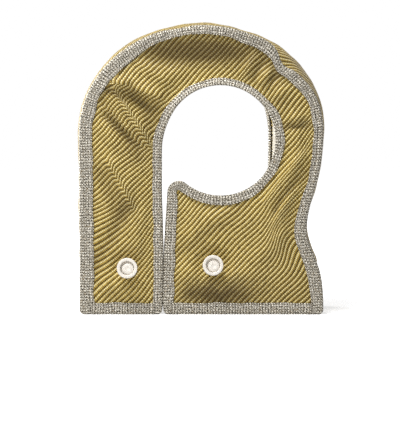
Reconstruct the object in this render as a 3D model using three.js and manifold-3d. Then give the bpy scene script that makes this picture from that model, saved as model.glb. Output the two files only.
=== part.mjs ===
// A heat blanket for a turbocharger's turbine housing: a padded shell with a ring-shaped front, a rim
// around it and a horseshoe back, open at the bottom. Springs hooked on its studs pull it closed.
// Each wall is twill cloth outside, a felt mat, and a lining inside. Knitted wire tape binds every edge.
// Millimetres. X is to the right, Y is from front to back and Z is up. The blanket stands on its legs.
import * as THREE from "three";
import { mergeVertices } from "three/addons/utils/BufferGeometryUtils.js";
import Module from "manifold-3d";

const wasm = await Module();
wasm.setup();

// Overall shape
const halfWidth = 98; // from the middle to the finished edge of a seam
const shoulderHeight = 145; // where the straight sides turn into the crown
const crownRise = 86.5; // from the shoulders to the top of the seam
const depth = 80; // front to back, over the seam tapes

// Layers
const clothThick = 1;
const liningThick = 0.6;
const feltThick = 8;
const tapeThick = 0.8;
const gap = 0.3; // clearance between two layers
const cutEdge = 1.8; // from a finished edge to the cut edge of the layers inside its tape
const feltMargin = 2.5; // from a tape to the edge of the felt

// Ribs of the twill on the front cloth
const ribPitch = 3.25;
const ribHeight = 0.35;
const ribAngle = 45; // degrees, rising to the right

// Tape widths, as they show outside
const seamTape = 10.5; // front half of the tape on a seam
const seamTapeBack = 7.5; // the half that lies against the rim
const edgeTape = 8; // around the openings
const hemTape = 9.6; // along the bottom

// Front opening: a round hole, with a slit from it to the bottom
const holeRadius = 44;
const holeX = 15.2;
const holeHeight = 139.6;
const holeRunIn = 150; // degrees, where the slit's left edge joins the hole
const legWidth = 66.4; // left leg, from the seam's edge to the slit
const slitBottom = 1;
const slitTop = 4.2;
const hookRadius = 9.2; // rounded corner of the foot, beside the slit

// Back opening: an arch, open at the bottom
const backLegLeft = 64.5;
const backLegRight = 41.7;
const backBand = 42; // cloth above the arch
const archRise = 48;
const archCrown = 67.5; // from the arch's left edge to its highest place

// Rim, in section
const rimFoot = 9; // from a seam's edge in to the foot of the rim
const rimBulge = 11.5; // how far the rim swells out from its foot
const crownSwell = 3; // how much more the rim swells on the crown

// Studs that the closing springs hook on
const studFlange = 8.2; // radius
const studCup = 5.6; // radius
const studBase = 7; // radius
const studReach = 9;
const studWall = 0.9;
const washerRadius = 8;
const washerThick = 1;
const pinRadius = 2;
const pinHead = 4.2; // radius
const pinHeadThick = 1.2;
const frontStudLeft = 27.7; // from the slit
const frontStudRight = 39.8; // from the slit
const frontStudLift = 36.7;
const frontStudStep = 2.3; // how much higher the right stud sits
const backStudInset = 16; // from the back opening's edge
const backStudLift = 37;

// How the soft shell has settled
const waistIn = 13.5; // how far the right side is drawn in
const waistEased = 0.35; // how much less the back is drawn in than the front
const waistHeight = 68;
const waistAbove = 40; // reach of the waist up the side
const waistBelow = 27; // and down it
const pinchIn = 4.5; // how far the front seam is pinched in, upper right
const pinchX = 70;
const pinchHeight = 192;
const pinchReach = 18;

const seamSteps = 40;
const slitSteps = 66;
const archSteps = 34;
const round = 16; // facets on a turned piece that shows
const roundInside = 12; // and on one inside
const below = 40; // how far cutting shapes reach under the floor

// A flat path stood upright, in the plane of the front.
class Upright extends THREE.Curve {
  constructor(path) {
    super();
    this.path = path;
    this.arcLengthDivisions = 1000;
  }
  getPoint(t, target = new THREE.Vector3()) {
    const p = this.path.getPoint(t);
    return target.set(p.x, 0, p.y);
  }
}

// The seams' edge, from the left leg over the crown to the right leg.
function seamEdge() {
  const path = new THREE.Path();
  path.moveTo(-halfWidth, 0);
  path.lineTo(-halfWidth, shoulderHeight);
  path.absellipse(0, shoulderHeight, halfWidth, crownRise, Math.PI, 0, true);
  path.lineTo(halfWidth, 0);
  return new Upright(path);
}

const slitLeft = -halfWidth + legWidth;
const slitRightLow = slitLeft + slitBottom;
const slitRightHigh = slitLeft + slitTop;

// The front opening's edge: up the slit, round the hole, over the foot's hook and down the slit.
function holeEdge() {
  const start = THREE.MathUtils.degToRad(holeRunIn);
  const startX = holeX + holeRadius * Math.cos(start);
  const startZ = holeHeight + holeRadius * Math.sin(start);
  const lift = startZ + (startX - slitLeft) / Math.tan(start);
  const hookX = slitRightHigh + hookRadius;
  const end = -Math.acos((hookX - holeX) / (holeRadius + hookRadius));
  const hookZ = holeHeight + (holeRadius + hookRadius) * Math.sin(end);
  const path = new THREE.Path();
  path.moveTo(slitLeft, 0);
  path.lineTo(slitLeft, 2 * lift - startZ);
  path.quadraticCurveTo(slitLeft, lift, startX, startZ);
  path.absarc(holeX, holeHeight, holeRadius, start, end, true);
  path.absarc(hookX, hookZ, hookRadius, end + Math.PI, Math.PI, false);
  path.lineTo(slitRightLow, hemTape);
  path.lineTo(slitRightLow, 0);
  return new Upright(path);
}

const archLeft = -halfWidth + backLegLeft;
const archRight = halfWidth - backLegRight;
const archTop = shoulderHeight + crownRise - backBand;

// The back opening's edge: two straight legs and an arch, which is highest right of its middle.
function archEdge() {
  const spring = archTop - archRise;
  const path = new THREE.Path();
  path.moveTo(archLeft, 0);
  path.lineTo(archLeft, spring);
  const crownX = archLeft + archCrown;
  path.absellipse(crownX, spring, archCrown, archRise, Math.PI, Math.PI / 2, true);
  path.absellipse(crownX, spring, archRight - crownX, archRise, Math.PI / 2, 0, true);
  path.lineTo(archRight, 0);
  return new Upright(path);
}

const seam = seamEdge();
const hole = holeEdge();
const arch = archEdge();

// Solids
function solidOf(geometry) {
  const g = geometry.index ? geometry.toNonIndexed() : geometry.clone();
  g.deleteAttribute("normal");
  g.deleteAttribute("uv");
  const m = mergeVertices(g, 1e-4);
  return new wasm.Manifold(new wasm.Mesh({
    numProp: 3,
    vertProperties: m.attributes.position.array,
    triVerts: new Uint32Array(m.index.array),
  }));
}

function geometryOf(solid) {
  const mesh = solid.getMesh();
  const g = new THREE.BufferGeometry();
  g.setAttribute("position", new THREE.BufferAttribute(new Float32Array(mesh.vertProperties), 3));
  g.setIndex(new THREE.BufferAttribute(new Uint32Array(mesh.triVerts), 1));
  return g;
}

// A box from one corner to the opposite one.
function block(low, high) {
  const g = new THREE.BoxGeometry(...high.map((h, i) => h - low[i]));
  return g.translate(...high.map((h, i) => (h + low[i]) / 2));
}

// Sweeps a section along an edge. The section's points are [distance out from the edge, y].
function sweep(section, edge, steps) {
  const shape = new THREE.Shape(section.map(([out, y]) => new THREE.Vector2(-y, -out)));
  return new THREE.ExtrudeGeometry(shape, { steps, bevelEnabled: false, extrudePath: edge });
}

// The area under an edge's curve, carried down past the floor.
function areaUnder(edge, steps) {
  const points = edge.getSpacedPoints(steps).map((p) => [p.x, p.z]);
  const first = points[0];
  const last = points[points.length - 1];
  return new wasm.CrossSection([[[first[0], -below], ...points, [last[0], -below]]], "NonZero");
}

const seamArea = areaUnder(seam, seamSteps);
const holeArea = areaUnder(hole, slitSteps);
const archArea = areaUnder(arch, archSteps);
const floorArea = new wasm.CrossSection([[[-200, -200], [200, -200], [200, 0], [-200, 0]]]);

// A panel's outline, moved in from the seam, from the opening and from the floor.
function panelArea(opening, fromSeam, fromOpening, fromFloor) {
  const grown = fromOpening > 0 ? opening.offset(fromOpening, "Round", 2, 24) : opening;
  return seamArea
    .offset(-fromSeam, "Round", 2, 24)
    .subtract(grown)
    .subtract(floorArea.translate([0, fromFloor]));
}

// The way the soft shell has settled, as a move of each of its points.
function settle(v) {
  const front = THREE.MathUtils.smoothstep(-v.y, -depth * 0.4, depth * 0.4);
  const kept = 1 - waistEased * (1 - THREE.MathUtils.smoothstep(-v.y, -depth * 0.34, 0));
  const side = THREE.MathUtils.smoothstep(v.x, holeX + holeRadius * 0.7, halfWidth - waistIn);
  const reach = v.z > waistHeight ? waistAbove : waistBelow;
  const waist = kept * side * Math.exp(-(((v.z - waistHeight) / reach) ** 2));
  const far = Math.hypot(v.x - pinchX, v.z - pinchHeight) / pinchReach;
  const pinch = front * Math.exp(-(far ** 2));
  const towards = new THREE.Vector2(-pinchX, shoulderHeight * 0.7 - pinchHeight).normalize();
  const middle = Math.cos(Math.PI * v.y / depth) ** 2;
  const crown = THREE.MathUtils.smoothstep(v.z, shoulderHeight * 0.75, shoulderHeight * 1.3);
  const outwards = new THREE.Vector2(v.x, v.z - shoulderHeight * 0.7).normalize();
  const swollen = crownSwell * middle * crown;
  v.x += outwards.x * swollen + towards.x * pinchIn * pinch - waistIn * waist;
  v.z += outwards.y * swollen + towards.y * pinchIn * pinch;
}

function mapPoints(geometry, move) {
  const p = geometry.attributes.position;
  const v = new THREE.Vector3();
  for (let i = 0; i < p.count; i++) {
    move(v.fromBufferAttribute(p, i));
    p.setXYZ(i, v.x, v.y, v.z);
  }
  return geometry;
}

// Points along a closed outline. Its long straight stretches are split at even heights.
const cuff = seam.getLength() / seamSteps;

function splitRing(ring) {
  const points = [];
  ring.forEach(([x, z], i) => {
    const [nextX, nextZ] = ring[(i + 1) % ring.length];
    points.push([x, z]);
    const rise = nextZ - z;
    if (Math.abs(rise) < 1.5 * cuff) {
      return;
    }
    const levels = [];
    for (let level = cuff; level < shoulderHeight; level += cuff) {
      const t = (level - z) / rise;
      if (t > 0.02 && t < 0.98) {
        levels.push([x + t * (nextX - x), level]);
      }
    }
    points.push(...(rise > 0 ? levels : levels.reverse()));
  });
  return points;
}

// A flat plate of the given outline, from y = near to y = far, settled as the shell is at y = place.
function plate(area, near, far, place) {
  const parts = area.toPolygons().map((ring) => {
    const settled = splitRing(ring).map(([x, z]) => {
      const v = new THREE.Vector3(x, place, z);
      settle(v);
      return new THREE.Vector2(v.x, v.z);
    });
    const shape = new THREE.Shape(settled);
    const g = new THREE.ExtrudeGeometry(shape, { depth: far - near, bevelEnabled: false });
    g.rotateX(Math.PI / 2);
    g.translate(0, far, 0);
    return solidOf(g);
  });
  return parts.reduce((sum, part) => sum.add(part));
}

// A block whose front face is ribbed, with the ribs' crests at y = near.
function ribbedBlock(near, far) {
  const count = 2 * Math.ceil(depth * 2.4 / ribPitch);
  const length = 4.4 * depth;
  const shape = new THREE.Shape();
  const start = -count * ribPitch / 2;
  shape.moveTo(start, -far);
  for (let i = 0; i <= 2 * count; i++) {
    shape.lineTo(start + i * ribPitch / 2, -near - (i % 2 ? 0 : ribHeight));
  }
  shape.lineTo(-start, -far);
  const g = new THREE.ExtrudeGeometry(shape, { depth: length, bevelEnabled: false });
  g.translate(0, 0, -length / 2);
  g.rotateZ(Math.PI);
  g.rotateY(Math.PI / 2 - THREE.MathUtils.degToRad(ribAngle));
  return g.translate(0, 0, shoulderHeight * 0.8);
}

// A folded tape in section: a U round an edge at distance 0, from y = near to y = far.
function fold(inward, near, far, nearWidth, farWidth) {
  const t = tapeThick;
  return [
    [0, near + t / 2], [0, far - t / 2], [inward * t / 2, far], [inward * farWidth, far],
    [inward * farWidth, far - t], [inward * t, far - t], [inward * t, near + t],
    [inward * nearWidth, near + t], [inward * nearWidth, near], [inward * t / 2, near],
  ];
}

// Where each layer lies at the front seam, from front to back.
const tapeY = -depth / 2;
const clothY = tapeY + tapeThick + gap;
const liningY = clothY + clothThick + gap;
const rimLiningY = liningY + liningThick + gap;
const rimClothY = rimLiningY + liningThick + gap;
const seamEnd = rimClothY + clothThick + gap + tapeThick;
const edgeEnd = liningY + liningThick + gap + tapeThick;
const feltEnd = liningY + feltThick;

// The rim's wall: how far out a face lies at depth y, under so much cloth and so much felt.
const wallEnd = -rimClothY - clothThick;
const wallRows = 6;

function wallShape(y) {
  return Math.max(0, Math.cos(Math.PI * y / (2 * wallEnd)));
}

function wallOut(y, under, padding) {
  const t = wallShape(y);
  return -rimFoot - under + rimBulge * t - padding * Math.sqrt(t);
}

function wallFace(under, padding, ends) {
  const face = [];
  for (let i = ends; i <= wallRows - ends; i++) {
    const y = wallEnd * (2 * i / wallRows - 1);
    face.push([wallOut(y, under, padding), y]);
  }
  return face;
}

// A layer of the rim in section, with a flange at each end that goes into the seam's tape.
function rimLayer(near, thick, under, padding) {
  const far = near + thick;
  return [
    [-cutEdge, far], [-rimFoot - under, far], ...wallFace(under, padding, 1), [-rimFoot - under, -far],
    [-cutEdge, -far], [-cutEdge, -near], [-rimFoot - under - thick, -near],
    ...wallFace(under + thick, padding, 0).reverse(), [-rimFoot - under - thick, near], [-cutEdge, near],
  ];
}

// Near the floor the rim is straight, and its padding fades out above that.
function flattenCuff(v) {
  const fade = THREE.MathUtils.clamp((v.z - cuff) / (2 * cuff), 0, 1);
  const t = wallShape(v.y);
  const out = Math.abs(v.x) - halfWidth;
  const under = -rimFoot - clothThick - gap + rimBulge * t - out;
  const squeezed = THREE.MathUtils.clamp(under, 0, feltThick * Math.sqrt(t));
  v.x -= Math.sign(v.x) * (1 - fade) * (rimBulge * t - squeezed);
}

// The layers of one panel, each as a solid in the front's place.
const studHeights = {
  washer: -(feltEnd - clothY + 3 * gap + liningThick),
};
studHeights.innerHead = studHeights.washer - washerThick - gap;
studHeights.outerHead = studWall + gap;

function pinHoles(studs) {
  return studs.map(([x, z]) => {
    const g = new THREE.CylinderGeometry(pinRadius + gap, pinRadius + gap, depth, roundInside);
    return solidOf(g.translate(x, 0, z));
  }).reduce((sum, one) => sum.add(one));
}

function panelLayers(opening, studs, place, ribbed) {
  const wide = panelArea(opening, cutEdge, cutEdge, cutEdge);
  const inside = (extra) => panelArea(opening, seamTape + extra, edgeTape + extra, hemTape + extra);
  const slab = (area, near, far) => plate(area, near, far, place);
  const backing = clothY + clothThick;
  let cloth;
  if (ribbed) {
    const ribs = solidOf(ribbedBlock(clothY, backing + 1));
    cloth = slab(wide, clothY + ribHeight, backing)
      .add(ribs.intersect(slab(inside(gap), clothY - 1, backing - ribHeight)));
  } else {
    cloth = slab(wide, clothY, backing);
  }
  const felt = slab(inside(feltMargin), liningY, feltEnd);
  const tray = slab(inside(feltMargin - gap - liningThick), liningY, feltEnd + gap + liningThick);
  const lining = slab(wide, liningY, liningY + liningThick)
    .add(tray)
    .subtract(slab(inside(feltMargin - gap), liningY - 1, feltEnd + gap));
  const holes = pinHoles(studs);
  return [cloth, felt, lining].map((layer) => layer.subtract(holes));
}

function rimStrip(swept, lift) {
  const above = solidOf(block([-200, -depth, lift], [200, depth, 400]));
  return mapPoints(geometryOf(solidOf(swept).intersect(above)), flattenCuff);
}

// The rim's felt is swept the other way round, so its facets match those of the cloth and the lining.
function feltStrip() {
  const under = clothThick + gap;
  const section = [...wallFace(under, 0, 1), ...wallFace(under, feltThick, 1).reverse()];
  const swept = sweep(section, seam, seamSteps);
  const turnedOver = solidOf(swept).mirror([1, 0, 0]);
  return rimStrip(geometryOf(turnedOver), 2 * cuff);
}

// A hem along the bottom of a panel or of the rim, between two distances from the middle.
function panelHem(left, right) {
  const section = fold(1, tapeY, edgeEnd, hemTape, hemTape);
  const shape = new THREE.Shape(section.map(([up, y]) => new THREE.Vector2(y, up)));
  const g = new THREE.ExtrudeGeometry(shape, { depth: right - left, bevelEnabled: false });
  const [x, y, z] = [0, 1, 2].map((axis) => new THREE.Vector3().setComponent(axis, 1));
  g.applyMatrix4(new THREE.Matrix4().makeBasis(y, z, x));
  return g.translate(left, 0, 0);
}

function rimHem(side) {
  const outerFace = halfWidth - rimFoot + gap + tapeThick;
  const innerFace = outerFace - clothThick - liningThick - 4 * gap - 2 * tapeThick;
  const section = fold(1, innerFace, outerFace, hemTape, hemTape);
  const length = 2 * (wallEnd - 2 * gap);
  const shape = new THREE.Shape(section.map(([up, x]) => new THREE.Vector2(side * x, up)));
  const g = new THREE.ExtrudeGeometry(shape, { depth: length, bevelEnabled: false });
  g.rotateX(Math.PI / 2);
  return g.translate(0, length / 2, 0);
}

// A stud, turned about Y, with its base at 0 and its flange outwards.
function turned(points, facets) {
  return new THREE.LatheGeometry(points.map(([r, h]) => new THREE.Vector2(r, h)), facets);
}

function studCupShape() {
  const r = pinRadius + gap;
  const inner = studCup - studWall;
  const lip = studReach - studWall;
  return turned([
    [r, 0], [studBase, 0], [studBase, studWall], [studCup, studWall * 1.6], [studCup, lip - 0.4],
    [studCup + 0.6, lip], [studFlange, lip], [studFlange, lip + studWall * 0.6],
    [studFlange - 0.6, studReach], [inner + 0.8, studReach], [inner, studReach - 0.7],
    [inner, studWall], [r, studWall], [r, 0],
  ], round);
}

function studPinShape() {
  const { innerHead, outerHead } = studHeights;
  const top = outerHead + pinHeadThick;
  return turned([
    [0, innerHead - pinHeadThick], [pinHead, innerHead - pinHeadThick * 0.5],
    [pinHead, innerHead], [pinRadius, innerHead], [pinRadius, outerHead], [pinHead, outerHead],
    [pinHead, top], [1, top], [0, top - 0.4],
  ], roundInside);
}

function studWasherShape() {
  const top = studHeights.washer;
  const r = pinRadius + gap;
  return turned([
    [r, top - washerThick], [washerRadius, top - washerThick], [washerRadius, top], [r, top],
    [r, top - washerThick],
  ], roundInside);
}

// Materials
const clothLook = new THREE.MeshStandardMaterial({ color: 0x8c7740, roughness: 0.75, metalness: 0.1 });
const feltLook = new THREE.MeshStandardMaterial({ color: 0xe6e2d8, roughness: 1, metalness: 0 });
const liningLook = new THREE.MeshStandardMaterial({ color: 0xcfc9ba, roughness: 0.85, metalness: 0 });
const tapeLook = new THREE.MeshStandardMaterial({ color: 0x918d86, roughness: 0.55, metalness: 0.6 });
const studLook = new THREE.MeshStandardMaterial({ color: 0xd2cfc9, roughness: 0.35, metalness: 0.9 });

const group = new THREE.Group();
group.name = "turbo_heat_blanket";

function addMesh(name, geometry, material) {
  const mesh = new THREE.Mesh(geometry, material);
  mesh.name = name;
  group.add(mesh);
  return mesh;
}

function addSoft(name, geometry, material) {
  return addMesh(name, mapPoints(geometry, settle), material);
}

// Front and back panels
const frontStuds = [
  [slitLeft - frontStudLeft, frontStudLift],
  [slitRightLow + frontStudRight, frontStudLift + frontStudStep],
];
const backStuds = [
  [archLeft - backStudInset, backStudLift],
  [archRight + backStudInset, backStudLift],
];
const looks = [clothLook, feltLook, liningLook];
const layerNames = ["cloth", "felt", "lining"];
panelLayers(holeArea, frontStuds, tapeY, true).forEach((layer, i) => {
  addMesh(`front_${layerNames[i]}`, geometryOf(layer), looks[i]);
});
panelLayers(archArea, backStuds, -tapeY, false).forEach((layer, i) => {
  addMesh(`back_${layerNames[i]}`, geometryOf(layer.mirror([0, 1, 0])), looks[i]);
});

// Rim
const rimCloth = rimLayer(rimClothY, clothThick, 0, 0);
const rimLining = rimLayer(rimLiningY, liningThick, clothThick + 2 * gap, feltThick);
addSoft("rim_cloth", rimStrip(sweep(rimCloth, seam, seamSteps), cutEdge), clothLook);
addSoft("rim_felt", feltStrip(), feltLook);
addSoft("rim_lining", rimStrip(sweep(rimLining, seam, seamSteps), cutEdge), liningLook);

// Tapes
const seamFold = fold(-1, tapeY, seamEnd, seamTape, seamTapeBack);
const edgeFold = fold(1, tapeY, edgeEnd, edgeTape, edgeTape);
const behind = (section) => section.map(([out, y]) => [out, -y]);
addSoft("front_seam_tape", sweep(seamFold, seam, seamSteps), tapeLook);
addSoft("back_seam_tape", sweep(behind(seamFold), seam, seamSteps), tapeLook);
addSoft("hole_tape", sweep(edgeFold, hole, slitSteps), tapeLook);
addSoft("arch_tape", sweep(behind(edgeFold), arch, archSteps), tapeLook);

const hemStart = halfWidth - rimFoot - clothThick - liningThick - 3 * gap;
const hemEnd = edgeTape + gap;
const hems = [
  ["front_left_hem", -hemStart, slitLeft - hemEnd, 1],
  ["front_right_hem", slitRightLow + hemEnd, hemStart, 1],
  ["back_left_hem", -hemStart, archLeft - hemEnd, -1],
  ["back_right_hem", archRight + hemEnd, hemStart, -1],
];
for (const [name, left, right, side] of hems) {
  const solid = solidOf(panelHem(left, right));
  addSoft(name, geometryOf(side > 0 ? solid : solid.mirror([0, 1, 0])), tapeLook);
}
addSoft("rim_left_hem", geometryOf(solidOf(rimHem(1)).mirror([1, 0, 0])), tapeLook);
addSoft("rim_right_hem", rimHem(1), tapeLook);

// Studs
function addStud(name, [x, z], facing) {
  const stud = new THREE.Group();
  stud.name = name;
  const parts = [["cup", studCupShape()], ["pin", studPinShape()], ["washer", studWasherShape()]];
  for (const [part, geometry] of parts) {
    const mesh = new THREE.Mesh(geometry, studLook);
    mesh.name = `${name}_${part}`;
    stud.add(mesh);
  }
  stud.position.set(x, facing * (-clothY + gap), z);
  stud.rotation.x = facing > 0 ? 0 : Math.PI;
  group.add(stud);
}

addStud("front_left_stud", frontStuds[0], -1);
addStud("front_right_stud", frontStuds[1], -1);
addStud("back_left_stud", backStuds[0], 1);
addStud("back_right_stud", backStuds[1], 1);

export default group;
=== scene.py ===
# %% [markdown]
# # A heat blanket for a turbocharger's turbine housing
# The frame that this scene loads is the blanket's measured model: cloth, felt and lining in flat layers,
# with folded tape round every edge. Here the soft pieces are remade as sewn cloth over the same
# sizes, and then lit and photographed. Lengths are in millimetres until a piece is finished.

# %% Tools and the frame
import math

import bmesh
import bpy
import numpy as np
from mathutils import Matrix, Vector


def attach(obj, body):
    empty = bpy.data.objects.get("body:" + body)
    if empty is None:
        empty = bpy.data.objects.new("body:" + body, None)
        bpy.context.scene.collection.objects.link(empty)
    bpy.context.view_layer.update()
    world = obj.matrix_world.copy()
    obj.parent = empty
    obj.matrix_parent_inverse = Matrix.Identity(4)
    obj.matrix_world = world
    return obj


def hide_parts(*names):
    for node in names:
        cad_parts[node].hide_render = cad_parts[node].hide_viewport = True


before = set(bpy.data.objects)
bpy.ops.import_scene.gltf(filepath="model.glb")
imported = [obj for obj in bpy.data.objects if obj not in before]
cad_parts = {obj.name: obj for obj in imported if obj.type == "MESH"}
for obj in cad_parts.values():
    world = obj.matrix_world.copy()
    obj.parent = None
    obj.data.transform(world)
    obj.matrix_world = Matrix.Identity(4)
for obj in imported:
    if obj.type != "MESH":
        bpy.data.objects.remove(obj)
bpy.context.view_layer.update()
MM = 0.001

# %% [markdown]
# Every soft piece here starts as a flat cut of cloth, just as the sewer's does. The cut is a grid
# of small faces, and a rule says where each point of the flat cloth ends up in space. So the first tools
# are a grid, a way to trim it, and a way to move all of its points at once.


# %% Flat cuts
def add(name, data):
    """Puts a mesh, a lamp or the camera in the scene."""
    piece = bpy.data.objects.new(name, data)
    bpy.context.collection.objects.link(piece)
    return piece


def add_mesh(name, bm):
    mesh = bpy.data.meshes.new(name)
    bm.to_mesh(mesh)
    bm.free()
    return add(name, mesh)


def flat_cut(name, low, high, step, turn=0.0, keep=None, ease=None):
    """A flat grid of cloth between two corners, turned, eased, and trimmed to keep(points)."""
    size = np.subtract(high, low)
    centre = np.add(high, low) / 2
    reach = float(np.hypot(*size)) if turn else None
    spans = (reach, reach) if turn else tuple(size)
    counts = [max(1, round(span / s)) for span, s in zip(spans, step)]
    bm = bmesh.new()
    bmesh.ops.create_grid(bm, x_segments=counts[0], y_segments=counts[1], size=0.5)
    piece = add_mesh(name, bm)
    own = read(piece.data)[:, :2] * (counts[0] * step[0], counts[1] * step[1])
    c, s = math.cos(turn), math.sin(turn)
    flat = own @ np.array([[c, s], [-s, c]]) + centre
    if ease is not None:
        flat = ease(flat)
    if keep is not None:
        own, flat = trim(piece.data, own, flat, keep(flat))
    return piece, own, flat


def read(mesh):
    """A mesh's points, as rows of x, y and z."""
    points = np.empty(len(mesh.vertices) * 3)
    mesh.vertices.foreach_get("co", points)
    return points.reshape(-1, 3)


def write(mesh, points):
    mesh.vertices.foreach_set("co", np.ascontiguousarray(points, float).ravel())
    mesh.update()


def trim(mesh, own, flat, kept):
    """Deletes the points that aren't kept, and the loose ends that leaves."""
    bm = bmesh.new()
    bm.from_mesh(mesh)
    mark = bm.verts.layers.int.new("row")
    for row, vert in enumerate(bm.verts):
        vert[mark] = row
    gone = [v for v, k in zip(bm.verts, kept) if not k]
    bmesh.ops.delete(bm, geom=gone, context="VERTS")
    loose = [v for v in bm.verts if not v.link_faces]
    bmesh.ops.delete(bm, geom=loose, context="VERTS")
    rows = [v[mark] for v in bm.verts]
    bm.to_mesh(mesh)
    bm.free()
    return own[rows], flat[rows]


# %% [markdown]
# The outlines are straight legs, an ellipse and circles. Each is kept as a line of points about
# a millimetre apart, so distances from an edge and places along it are both quick to look up.


# %% Outlines
class Line:
    """Evenly spaced points on a line, looked up by the distance along it."""

    def __init__(self, points, per_mm):
        points = np.array(points, float)
        run = np.concatenate([[0], np.cumsum(np.hypot(*np.diff(points, axis=0).T))])
        self.length = run[-1]
        self.at = np.linspace(0, run[-1], per_mm * int(run[-1]))
        self.points = np.stack([np.interp(self.at, run, points[:, i]) for i in (0, 1)], 1)

    def look_up(self, s, rows):
        return [np.interp(s, self.at, rows[:, i]) for i in (0, 1)]


class Edge(Line):
    """An outline in the plane of the front, with the normals on its left."""

    def __init__(self, points):
        super().__init__(points, 1)
        along = np.gradient(self.points, axis=0)
        along /= np.hypot(*along.T)[:, None]
        self.left = np.stack([-along[:, 1], along[:, 0]], 1)

    def place(self, s, out):
        """The point at length s, moved out to the left."""
        where, side = self.look_up(s, self.points), self.look_up(s, self.left)
        return np.stack([where[i] + side[i] * out for i in (0, 1)], -1)

    def distance(self, flat):
        best = np.full(len(flat), np.inf)
        for x, z in self.points:
            best = np.minimum(best, (flat[:, 0] - x) ** 2 + (flat[:, 1] - z) ** 2)
        return np.sqrt(best)

    def holds(self, flat, below=40.0):
        """Which points lie under the line, down past the floor."""
        first, last = self.points[0], self.points[-1]
        ring = np.vstack([[first[0], -below], self.points, [last[0], -below]])
        inside = np.zeros(len(flat), bool)
        for (x0, z0), (x1, z1) in zip(ring, np.roll(ring, -1, axis=0)):
            if z0 != z1:
                crosses = (z0 > flat[:, 1]) != (z1 > flat[:, 1])
                inside ^= crosses & (flat[:, 0] < (x1 - x0) * (flat[:, 1] - z0) / (z1 - z0) + x0)
        return inside


def arc(centre, radii, start, end, count=90):
    """Points on an arc, with its angles in degrees."""
    angles = np.radians(np.linspace(start, end, count))
    return [(centre[0] + radii[0] * math.cos(a), centre[1] + radii[1] * math.sin(a)) for a in angles]


SEAM_TAPE, EDGE_TAPE, HEM_TAPE = 10.5, 8.0, 9.6  # how far each tape reaches in from its edge
HALF_WIDTH = 98.0
SHOULDER = 145.0
CROWN_RISE = 86.5
seam = Edge([(-HALF_WIDTH, 0), *arc((0, SHOULDER), (HALF_WIDTH, CROWN_RISE), 180, 0), (HALF_WIDTH, 0)])

HOLE = (15.2, 139.6)
HOLE_RADIUS = 44.0
HOOK_RADIUS = 9.2
SLIT_LEFT = -31.6
SLIT_RIGHT = (-30.6, -27.4)  # at the floor and at the hook
hook_x = SLIT_RIGHT[1] + HOOK_RADIUS
hook_turn = -math.degrees(math.acos((hook_x - HOLE[0]) / (HOLE_RADIUS + HOOK_RADIUS)))
hook = (hook_x, HOLE[1] + (HOLE_RADIUS + HOOK_RADIUS) * math.sin(math.radians(hook_turn)))
run_in = arc(HOLE, (HOLE_RADIUS, HOLE_RADIUS), 150, hook_turn)
lift = run_in[0][1] - (run_in[0][0] - SLIT_LEFT) * math.sqrt(3)
bend = [(SLIT_LEFT, 2 * lift - run_in[0][1]), (SLIT_LEFT, lift), run_in[0]]
curve = [
    tuple((1 - t) ** 2 * bend[0][i] + 2 * t * (1 - t) * bend[1][i] + t * t * bend[2][i] for i in (0, 1))
    for t in np.linspace(0, 1, 20)
]
around_hook = arc(hook, (HOOK_RADIUS, HOOK_RADIUS), hook_turn + 180, 180, 30)
foot_of_slit = [(SLIT_RIGHT[0], HEM_TAPE), (SLIT_RIGHT[0], 0)]
hole = Edge([(SLIT_LEFT, 0), *curve, *run_in[1:], *around_hook[1:], *foot_of_slit])

ARCH = (-33.5, 56.3)
ARCH_RISE = 48.0
ARCH_CROWN = ARCH[0] + 67.5  # where the arch is highest
ARCH_BAND = 42.0  # the cloth over the arch's highest place
spring = (ARCH_CROWN, SHOULDER + CROWN_RISE - ARCH_BAND - ARCH_RISE)
arch_left = arc(spring, (ARCH_CROWN - ARCH[0], ARCH_RISE), 180, 90)
arch_right = arc(spring, (ARCH[1] - ARCH_CROWN, ARCH_RISE), 90, 0)
arch = Edge([(ARCH[0], 0), *arch_left, *arch_right[1:], (ARCH[1], 0)])
print("edges", [round(edge.length) for edge in (seam, hole, arch)])

# %% [markdown]
# The blanket isn't perfectly regular. Its right side is drawn in to a waist, the front's tape is kinked,
# the rim swells on the crown, the top of the front leans forward, the slit leans shut, and the feet
# have rounded corners. Those moves are one rule for all of space, so a tape and the cloth under it
# always settle together.

# %% How the shell has settled
HALF_DEPTH = 40.0
SLIT_MIDDLE = -31.1
CORNER = 3.6  # the round of a foot's corner
FEET = ((-HALF_WIDTH, 1), (SLIT_LEFT, -1), (SLIT_RIGHT[0], 1), (HALF_WIDTH, -1))  # and the way in
WAIST, WAIST_Z = 13.5, 68  # how far the right side is drawn in, and where
PINCH = 4.5
SWELL = 1.2
HEART = (0, 0.7 * SHOULDER)  # a swell moves away from here
KINK = (70, 192)  # the deepest of the seam's kinks, which push it towards the heart


def smooth(x, low, high):
    t = np.clip((x - low) / (high - low), 0, 1)
    return t * t * (3 - 2 * t)


def bell(x, z, centre, width, height=None):
    """A soft bump round a place."""
    height = width if height is None else height
    return np.exp(-(((x - centre[0]) / width) ** 2) - ((z - centre[1]) / height) ** 2)


def drawn_waist(x, y, z):
    """The right side's waist, a little less at the back."""
    side = smooth(x, HOLE[0] + 0.7 * HOLE_RADIUS, HALF_WIDTH - WAIST)
    kept = 0.65 + 0.35 * smooth(-y, -0.68 * HALF_DEPTH, 0)
    reach = np.where(z > WAIST_Z, 40, 27)
    return kept * side * np.exp(-(((z - WAIST_Z) / reach) ** 2))


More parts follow.
